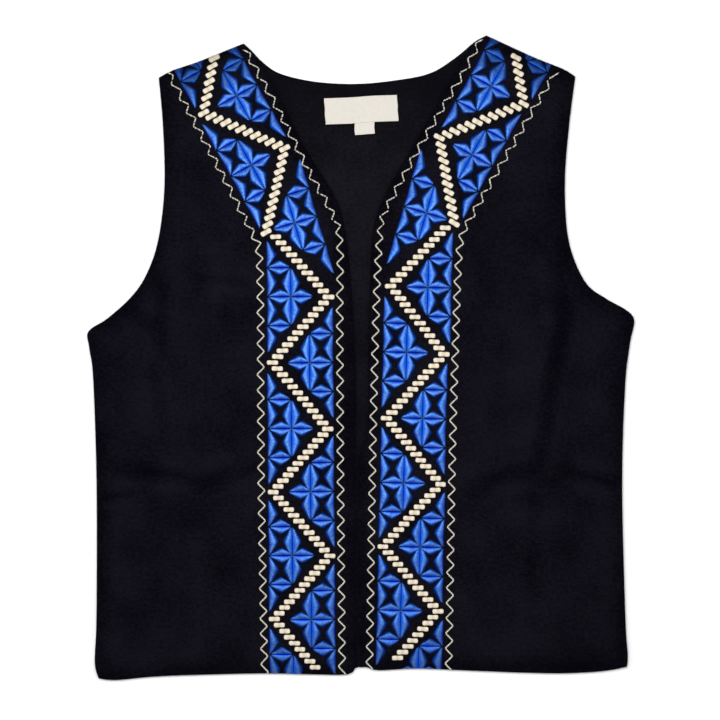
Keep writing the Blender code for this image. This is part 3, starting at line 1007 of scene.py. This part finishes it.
surfaces = {}
for side, word in SIDES:
    graph = bpy.context.evaluated_depsgraph_get()
    surfaces[side] = BVHTree.FromObject(fronts[side], graph)
    draw = random.Random(SATIN_SEED + side)
    pads = []
    for number, cell in enumerate(CELLS):
        to_vest, facing = chart_of(cell, number, side)
        for petal in PETALS:
            for flip in (1, -1) if petal.place in TWICE else (1,):
                along_2 = petal.along_2
                if along_2 == TIP_ALONG and number < LEANING_CELLS:
                    along_2 = LEANING_TIP_ALONG
                start = to_vest(petal.along_1 * flip, petal.across_1)
                end = to_vest(along_2 * flip, petal.across_2)
                ways = (1, -1) if petal.halves == 2 else (facing * flip,)
                for way in ways:
                    pads += satin_pad(surfaces[side], start, end, petal, way, draw)
    points, faces = joined([loft(pad[:, :, :3]) for pad in pads])
    satin = mesh_piece(f"satin_{word}", points, faces, blue_thread)
    lays = np.concatenate([pad[:, :, 3:].reshape(-1, 4) for pad in pads])
    give_values(satin, "lay", lays[:, :3])
    give_values(satin, "lit", lays[:, 3] * lit_near_seam(side, points_of(satin)))

# Thick cream zigzags. Each is a row of stitch blocks, five soft cotton strands wide, which all
# lie across the band while the row steps from one edge of it to the other and back. A block is
# fullest at its two ends, where the strands turn down into the cloth.
UPPER_BLOCK_WIDTH = 3.8 * MM
BLOCK_WIDTH = 3.5 * MM
BLOCK_HEIGHT = 1.15 * MM
BLOCK_STRANDS = 5
BLOCK_STATIONS = (-0.985, -0.94, -0.84, -0.66, -0.44, -0.2, 0.0, 0.2, 0.44, 0.66, 0.84, 0.94, 0.985)
POINTS_A_STRAND = 4
STRAND_RIDGE = 0.16 * MM
WAIST = 0.09
WAIST_DIP = 0.16
UPPER_LEAN = math.radians(29)
LOWER_LEAN = math.radians(0.8)
LEANING_ROWS = 4
BLOCK_SEED = 60
BLOCK_TURN = 0.05
BLOCK_SHIFT = 0.15
LENGTH_SPREAD = (0.94, 1.05)
WIDTH_SPREAD = (0.95, 1.03)
WAIST_REACH = 0.35
DIP_REACH = 0.32
END_SQUARENESS = 10
CROWN_SQUARENESS = 2.6
RIDGE_LEVEL = 0.6
UNDER_CLOTH = 0.1 * MM

# Where each zigzag turns, from the shoulder to the hem, how many blocks lie before the next
# turn, and how long they are. At the bend a single leaning block is followed by an upright one.
Turn = namedtuple("Turn", "left_x left_up right_x right_up blocks length")
TURNS = (
    Turn(-97.3, 410.1, 100.9, 415.9, 7, 7.4),
    Turn(-104.0, 373.8, 106.7, 379.9, 11, 7.7),
    Turn(-50.6, 350.6, 51.2, 357.8, 11, 7.7),
    Turn(-62.8, 295.3, 61.0, 301.3, 1, 7.7),
    Turn(-56.6, 292.3, 55.1, 298.2, 10, 7.6),
    Turn(-21.7, 252.7, 19.2, 259.9, 11, 7.6),
    Turn(-58.7, 209.5, 54.3, 215.0, 11, 7.5),
    Turn(-22.2, 165.8, 16.5, 172.8, 11, 7.5),
    Turn(-58.2, 124.2, 51.9, 129.4, 11, 7.4),
    Turn(-21.0, 82.2, 14.1, 88.3, 11, 7.4),
    Turn(-57.4, 40.7, 50.2, 45.7, 8, 7.3),
    Turn(-30.8, 8.7, 23.8, 14.9, 1, 7.3),
)


def zigzag_blocks(side):
    """Each block of a zigzag: its middle, the way across the band there, its length and width."""
    turns = [Vector(on_vest(*(row[:2] if side == LEFT else row[2:4]))) for row in TURNS]
    for index, (start, row) in enumerate(zip(turns, TURNS)):
        leaning = index < LEANING_ROWS
        lean = UPPER_LEAN if leaning else LOWER_LEAN * (side == RIGHT)
        width = UPPER_BLOCK_WIDTH if leaning else BLOCK_WIDTH
        across = Vector((-math.cos(lean), side * math.sin(lean)))
        if index + 1 < len(turns):
            stroke = turns[index + 1] - start
        for block in range(row.blocks):
            yield start + stroke * block / row.blocks, across, row.length * MM, width


def stitch_block(surface, middle, across, length, width, draw):
    """Rings of one block along its strands, cut at a seam, and where on it each point lies."""
    turn = draw.uniform(-BLOCK_TURN, BLOCK_TURN)
    across = Vector((across.x - across.y * turn, across.y + across.x * turn)).normalized()
    beside = Vector((-across.y, across.x))
    half_length = length / 2 * draw.uniform(*LENGTH_SPREAD)
    half_width = width / 2 * draw.uniform(*WIDTH_SPREAD)
    middle = middle + across * draw.uniform(-BLOCK_SHIFT, BLOCK_SHIFT) * MM
    tone = draw.random()
    rings = []
    for station in BLOCK_STATIONS:
        end_round = math.sqrt(1 - abs(station) ** END_SQUARENESS)
        width = half_width * end_round * (1 - WAIST * math.exp(-((station / WAIST_REACH) ** 2)))
        dip = WAIST_DIP * math.exp(-((station / DIP_REACH) ** 2))
        rise = BLOCK_HEIGHT * end_round * (1 - dip)
        axis = middle + across * half_length * station
        row = stretch_on_cloth(surface, axis - beside * width, axis + beside * width)
        if row is None:
            continue
        ring = []
        for number in range(BLOCK_STRANDS * POINTS_A_STRAND + 1):
            strand = number / POINTS_A_STRAND
            side_share = 2 * strand / BLOCK_STRANDS - 1
            place = row[0].lerp(row[1], strand / BLOCK_STRANDS)
            hump = math.sqrt(abs(math.sin(math.pi * strand))) - RIDGE_LEVEL
            ridge = STRAND_RIDGE * end_round * hump
            crown = math.sqrt(max(0.0, 1 - abs(side_share) ** CROWN_SQUARENESS))
            base = cloth_height(surface, place) or WALL
            height = base + rise * crown + ridge * crown
            if crown == 0:
                height = base - UNDER_CLOTH
            ring.append((place.x, place.y, height, station, strand, tone))
        rings.append(ring)
    return np.array(rings)


CREAM_HIGH = (0.80, 0.73, 0.605)
CREAM_LOW = (0.47, 0.38, 0.25)
CREAM_SHADED = (0.38, 0.33, 0.23)
CREAM_DEEP = (0.075, 0.055, 0.028)
DEEP_FROM = 0.74
BLOCK_SHADE_REACH = 9 * MM
IN_THE_SEAM = 1.6 * MM
BLOCK_STRETCH = (3.0, 2.5, 50.0)
WAIST_SLOPE = 1.9
WAIST_PAINTED_SHADE = 0.45
GROOVE_PAINTED_SHADE = 0.55
GROOVE_SHARPNESS = 4.0
FUZZ_FROM = 0.35
FUZZ_TONE = 0.7
tree = blank("Cream block thread")
lay = add_node(tree, "Attribute", attribute_name="lay").outputs["Vector"]
block_axes = add_node(tree, "SeparateXYZ", {0: lay}).outputs
# Painted shade: darker in a block's dipped waist than at its full ends, and in the grooves between its
# strands.
to_end = maths(tree, "ABSOLUTE", block_axes[0])
waist = maths(tree, "SUBTRACT", 1.0, maths(tree, "MULTIPLY", to_end, WAIST_SLOPE))
waist = maths(tree, "MULTIPLY", clamped(tree, waist), WAIST_PAINTED_SHADE)
groove_painted_shade = maths(tree, "ABSOLUTE", maths(tree, "COSINE", maths(tree, "MULTIPLY", block_axes[1], math.pi)))
groove_painted_shade = maths(tree, "MULTIPLY", maths(tree, "POWER", groove_painted_shade, GROOVE_SHARPNESS), GROOVE_PAINTED_SHADE)
fuzz = noise_over(tree, stretched(tree, block_axes, BLOCK_STRETCH), 2.0, 3.0)
fuzzed = maths(tree, "MULTIPLY", maths(tree, "SUBTRACT", fuzz, FUZZ_FROM), FUZZ_TONE)
shade = clamped(tree, maths(tree, "ADD", maths(tree, "ADD", waist, groove_painted_shade), fuzzed))
lit = add_node(tree, "Attribute", attribute_name="lit").outputs["Fac"]
cream = mixed(tree, lit, CREAM_SHADED, mixed(tree, shade, CREAM_HIGH, CREAM_LOW))

# The outer strands turn down between two blocks, so less light reaches them
half_strands = BLOCK_STRANDS / 2
from_middle = maths(tree, "ABSOLUTE", maths(tree, "SUBTRACT", block_axes[1], half_strands))
deep = maths(tree, "SUBTRACT", maths(tree, "DIVIDE", from_middle, half_strands), DEEP_FROM)
deep = clamped(tree, maths(tree, "DIVIDE", deep, 1 - DEEP_FROM))
block_thread = finish(
    "Cream block thread",
    mixed(tree, deep, cream, CREAM_DEEP),
    0.5,
    fuzz,
    0.08 * MM,
    Specular_IOR_Level=0.35,
)

for side, word in SIDES:
    draw = random.Random(BLOCK_SEED + side)
    blocks = [
        stitch_block(surfaces[side], *block, draw)
        for block in zigzag_blocks(side)
        if from_seam(side, np.array([block[0]])).min() > IN_THE_SEAM
    ]
    points, faces = joined([loft(block[:, :, :3]) for block in blocks])
    zigzag = mesh_piece(f"zigzag_{word}_blocks", points, faces, block_thread)
    give_values(zigzag, "lay", np.concatenate([block[:, :, 3:].reshape(-1, 3) for block in blocks]))
    give_values(zigzag, "lit", lit_near_seam(side, points_of(zigzag), BLOCK_SHADE_REACH))
    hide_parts(f"zigzag_{word}")

# Thin cream zigzag stitches. A two-ply cotton thread runs in a zigzag beside each edge of a
# band, from the shoulder to the hem; it rises a little along each stitch and dips into the cloth
# where it turns.
PLY_RADIUS = 0.33 * MM
THINNER = 0.04
PLY_OFFSET = 0.24 * MM
PLY_PITCH = 2.4 * MM
PLY_SIDES = 6
STITCH_HALF = 2.5 * MM
LEANING_SHARE = 0.86
STITCH_SKEW = 0.4 * MM
BEND_Y = 285 * MM - BODY_LENGTH / 2
BEND_REACH = 15 * MM
SINK = 0.78 * MM
SINK_PITCH = 2.2 * MM
SINK_SHARE = 0.6
SINK_DRIFT = 0.11
STITCH_RISE = 0.42 * MM
STITCH_DIP = 0.05 * MM
THREAD_SAMPLE = 0.4 * MM
CORNER_SOFTNESS = 9
THIN_COLOUR = (0.64, 0.615, 0.52)
THIN_SHADE = (0.30, 0.27, 0.21)
THIN_YARN_SCALE = 900.0
THIN_SHADE_FROM = 0.3
THIN_SHADE_GAIN = 1.5

# Places on each line's middle, from the shoulder seam to the hem, and the stitches up to the next
Mark = namedtuple("Mark", "x up stitches")
LEFT_OUTER = (
    Mark(-128.6, 402.8, 1),
    Mark(-126.2, 398.3, 3),
    Mark(-118.0, 383.3, 3),
    Mark(-111.2, 370.0, 8),
    Mark(-91.9, 333.5, 8),
    Mark(-72.7, 296.3, 2),
    Mark(-68.5, 287.7, 2),
    Mark(-67.3, 278.0, 6),
    Mark(-66.6, 247.5, 22),
    Mark(-66.1, 135.1, 24),
    Mark(-64.1, 16.1, 3),
    Mark(-63.6, 1.0, 0),
)
LEFT_INNER = (
    Mark(-77.6, 417.1, 1),
    Mark(-75.1, 412.6, 8),
    Mark(-53.7, 373.7, 8),
    Mark(-34.9, 335.9, 6),
    Mark(-19.8, 308.5, 4),
    Mark(-14.5, 290.2, 10),
    Mark(-14.4, 238.6, 20),
    Mark(-13.9, 135.8, 24),
    Mark(-12.9, 14.8, 3),
    Mark(-12.8, -0.3, 0),
)
RIGHT_INNER = (
    Mark(79.5, 423.9, 1),
    Mark(76.9, 419.4, 4),
    Mark(66.8, 399.8, 4),
    Mark(55.4, 381.0, 6),
    Mark(38.9, 352.8, 8),
    Mark(18.5, 315.1, 2),
    Mark(14.0, 305.5, 2),
    Mark(12.3, 296.6, 8),
    Mark(10.0, 256.2, 20),
    Mark(7.4, 153.5, 26),
    Mark(5.4, 22.3, 4),
    Mark(5.2, 2.0, 0),
)
RIGHT_OUTER = (
    Mark(129.9, 402.6, 1),
    Mark(124.3, 394.9, 8),
    Mark(102.3, 357.8, 12),
    Mark(70.1, 301.8, 2),
    Mark(66.0, 292.9, 2),
    Mark(64.4, 283.4, 6),
    Mark(62.8, 252.5, 20),
    Mark(59.8, 151.1, 26),
    Mark(57.6, 21.3, 4),
    Mark(57.4, 1.0, 0),
)
Line = namedtuple("Line", "place side marks first")
LINES = (
    Line("left_outer", LEFT, LEFT_OUTER, -1),
    Line("left_inner", LEFT, LEFT_INNER, -1),
    Line("right_inner", RIGHT, RIGHT_INNER, 1),
    Line("right_outer", RIGHT, RIGHT_OUTER, 1),
)


def leaning_at(height):
    """1 in the leaning part of a band, 0 below its bend."""
    return soft_step((height - BEND_Y) / BEND_REACH)


def stitch_corners(line):
    """The places where a line of zigzag stitches turns, on each side of its middle in turn."""
    middles = []
    marks = [on_vest(mark.x, mark.up) for mark in line.marks]
    ends = [marks[0], *marks, marks[-1]]
    for number, mark in enumerate(line.marks[:-1]):
        near = smooth(ends[number : number + 4], THREAD_SAMPLE)
        first, last = (near.index(tuple(place)) for place in marks[number : number + 2])
        path = np.array(near[first : last + 1])
        reached = np.concatenate([[0], np.cumsum(np.linalg.norm(np.diff(path, axis=0), axis=1))])
        at = reached[-1] * np.arange(mark.stitches) / mark.stitches
        middles += zip(*(np.interp(at, reached, path[:, axis]) for axis in (0, 1)))
    middles = np.array([*middles, marks[-1]])
    along = np.gradient(middles, axis=0)
    along /= np.linalg.norm(along, axis=1)[:, None]
    outward = np.column_stack([-along[:, 1], along[:, 0]])
    sides = line.first * (-1) ** np.arange(len(middles))
    leaning = leaning_at(middles[:, 1])
    out = STITCH_HALF * (1 - (1 - LEANING_SHARE) * leaning) * sides
    later = -line.side * STITCH_SKEW * leaning * sides
    return middles + outward * out[:, None] + along * later[:, None]


def stitched_path(surface, corners):
    """The thread's centre line over the cloth, with its corners rounded."""
    places, rises = [], []
    for start, end in zip(corners, corners[1:]):
        pieces = round(np.linalg.norm(end - start) / THREAD_SAMPLE)
        for piece in range(pieces):
            share = piece / pieces
            places.append(start + (end - start) * share)
            rises.append(STITCH_DIP + STITCH_RISE * math.sin(math.pi * share) ** 0.5)
    window = np.hanning(CORNER_SOFTNESS + 2)[1:-1]
    window /= window.sum()
    places = np.array(places)
    soft = [np.convolve(places[:, axis], window, "valid") for axis in (0, 1)]
    rises = np.convolve(rises, window, "valid")
    path = []
    for number, (x, y, rise) in enumerate(zip(*soft, rises)):
        height = cloth_height(surface, (x, y))
        if height is not None:
            turns = number * THREAD_SAMPLE / SINK_PITCH + noise.noise((number * SINK_DRIFT, y, 0.5))
            wave = SINK_SHARE + SINK_SHARE * math.sin(2 * math.pi * turns)
            sunk = SINK * leaning_at(y) * wave
            path.append((x, y, height + rise - sunk))
    return np.array(path)


def two_ply(path):
    """Two strands twisted round a path."""
    along = np.gradient(path, axis=0)
    along /= np.linalg.norm(along, axis=1)[:, None]
    beside = np.cross(along, (0, 0, 1))
    beside /= np.linalg.norm(beside, axis=1)[:, None]
    upward = np.cross(beside, along)
    reached = np.concatenate([[0], np.cumsum(np.linalg.norm(np.diff(path, axis=0), axis=1))])
    radius = (PLY_RADIUS * (1 - THINNER * leaning_at(path[:, 1])))[:, None, None]
    for ply in (0, 1):
        twist = 2 * math.pi * (reached / PLY_PITCH + ply / 2)
        centre = path + PLY_OFFSET * (
            np.cos(twist)[:, None] * beside + np.sin(twist)[:, None] * upward
        )
        around = np.arange(PLY_SIDES) * 2 * math.pi / PLY_SIDES
        rings = (
            centre[:, None, :]
            + radius * np.cos(around)[None, :, None] * beside[:, None, :]
            + radius * np.sin(around)[None, :, None] * upward[:, None, :]
        )
        yield loft(rings)


tree = blank("Thin cream thread")
place = add_node(tree, "TexCoord").outputs["Object"]
uneven_yarn = noise_over(tree, place, THIN_YARN_SCALE, 3.0)
share = maths(tree, "SUBTRACT", uneven_yarn, THIN_SHADE_FROM)
share = clamped(tree, maths(tree, "MULTIPLY", share, THIN_SHADE_GAIN))
thin_thread = finish(
    "Thin cream thread",
    mixed(tree, share, THIN_COLOUR, THIN_SHADE),
    0.6,
    uneven_yarn,
    0.06 * MM,
    Specular_IOR_Level=0.3,
)
for line in LINES:
    path = stitched_path(surfaces[line.side], stitch_corners(line))
    points, faces = joined(two_ply(path))
    stitches = mesh_piece(f"stitches_{line.place}", points, faces, thin_thread)

# Floor, lights and camera. The vest lies on a plain pale table under a soft box right above it,
# which the camera doesn't see, with a weaker one at each side. The camera looks straight down.
FLOOR_SIZE = 6.0
FLOOR_COLOUR = (0.9, 0.9, 0.9)
FLOOR_DROP = 0.1 * MM
SPECKLE_SCALE = 12.0
SPECKLE_TONE = 0.985
SKY_STRENGTH = 0.3
CAMERA_HEIGHT = 1.6
VIEW_WIDTH = 474.5 * MM
VIEW_HEIGHT_ON_VEST = 5 * MM
VIEW_MIDDLE = (-1.05 * MM, -1.5 * MM)
SENSOR = 36.0

tree = blank("Pale table")
place = add_node(tree, "TexCoord").outputs["Object"]
speckle = noise_over(tree, place, SPECKLE_SCALE, 2.0)
table_top = finish(
    "Pale table",
    mixed(tree, speckle, FLOOR_COLOUR, tuple(SPECKLE_TONE * value for value in FLOOR_COLOUR)),
    0.9,
    Specular_IOR_Level=0.1,
)
half = FLOOR_SIZE / 2
floor_mesh = bpy.data.meshes.new("table")
corners = [(-half, -half, 0), (half, -half, 0), (half, half, 0), (-half, half, 0)]
floor_mesh.from_pydata(corners, [], [(0, 1, 2, 3)])
floor_mesh.materials.append(table_top)
floor = bpy.data.objects.new("table", floor_mesh)
floor.location.z = -FLOOR_DROP
bpy.context.scene.collection.objects.link(floor)
floor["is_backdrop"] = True

Light = namedtuple("Light", "place x y z size power")
LIGHTS = (
    Light("soft box above", -0.05, 0.07, 0.85, 0.36, 6.7),
    Light("soft box left", -1.6, 0.5, 1.4, 1.0, 10.0),
    Light("soft box right", 1.6, 0.3, 1.4, 1.0, 9.0),
)
for row in LIGHTS:
    lamp = bpy.data.lights.new(row.place, "AREA")
    lamp.size = row.size
    lamp.energy = row.power
    light_object = bpy.data.objects.new(row.place, lamp)
    light_object.location = (row.x, row.y, row.z)
    light_object.rotation_euler = Vector((row.x, row.y, row.z)).to_track_quat("Z", "Y").to_euler()
    light_object.visible_camera = False
    bpy.context.scene.collection.objects.link(light_object)

world = bpy.data.worlds.new("Studio")
world.use_nodes = True
world.node_tree.nodes["Background"].inputs["Color"].default_value = (1, 1, 1, 1)
world.node_tree.nodes["Background"].inputs["Strength"].default_value = SKY_STRENGTH
bpy.context.scene.world = world

eye = bpy.data.cameras.new("camera")
eye.sensor_width = SENSOR
eye.lens = SENSOR * (CAMERA_HEIGHT - VIEW_HEIGHT_ON_VEST) / VIEW_WIDTH
camera = bpy.data.objects.new("camera", eye)
camera.location = (*VIEW_MIDDLE, CAMERA_HEIGHT)
bpy.context.scene.collection.objects.link(camera)
bpy.context.scene.camera = camera
bpy.context.scene.view_settings.view_transform = "Standard"
bpy.context.scene.view_settings.look = "None"

boxes = [[list(corner) for corner in box] for box in (solid_box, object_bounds())]
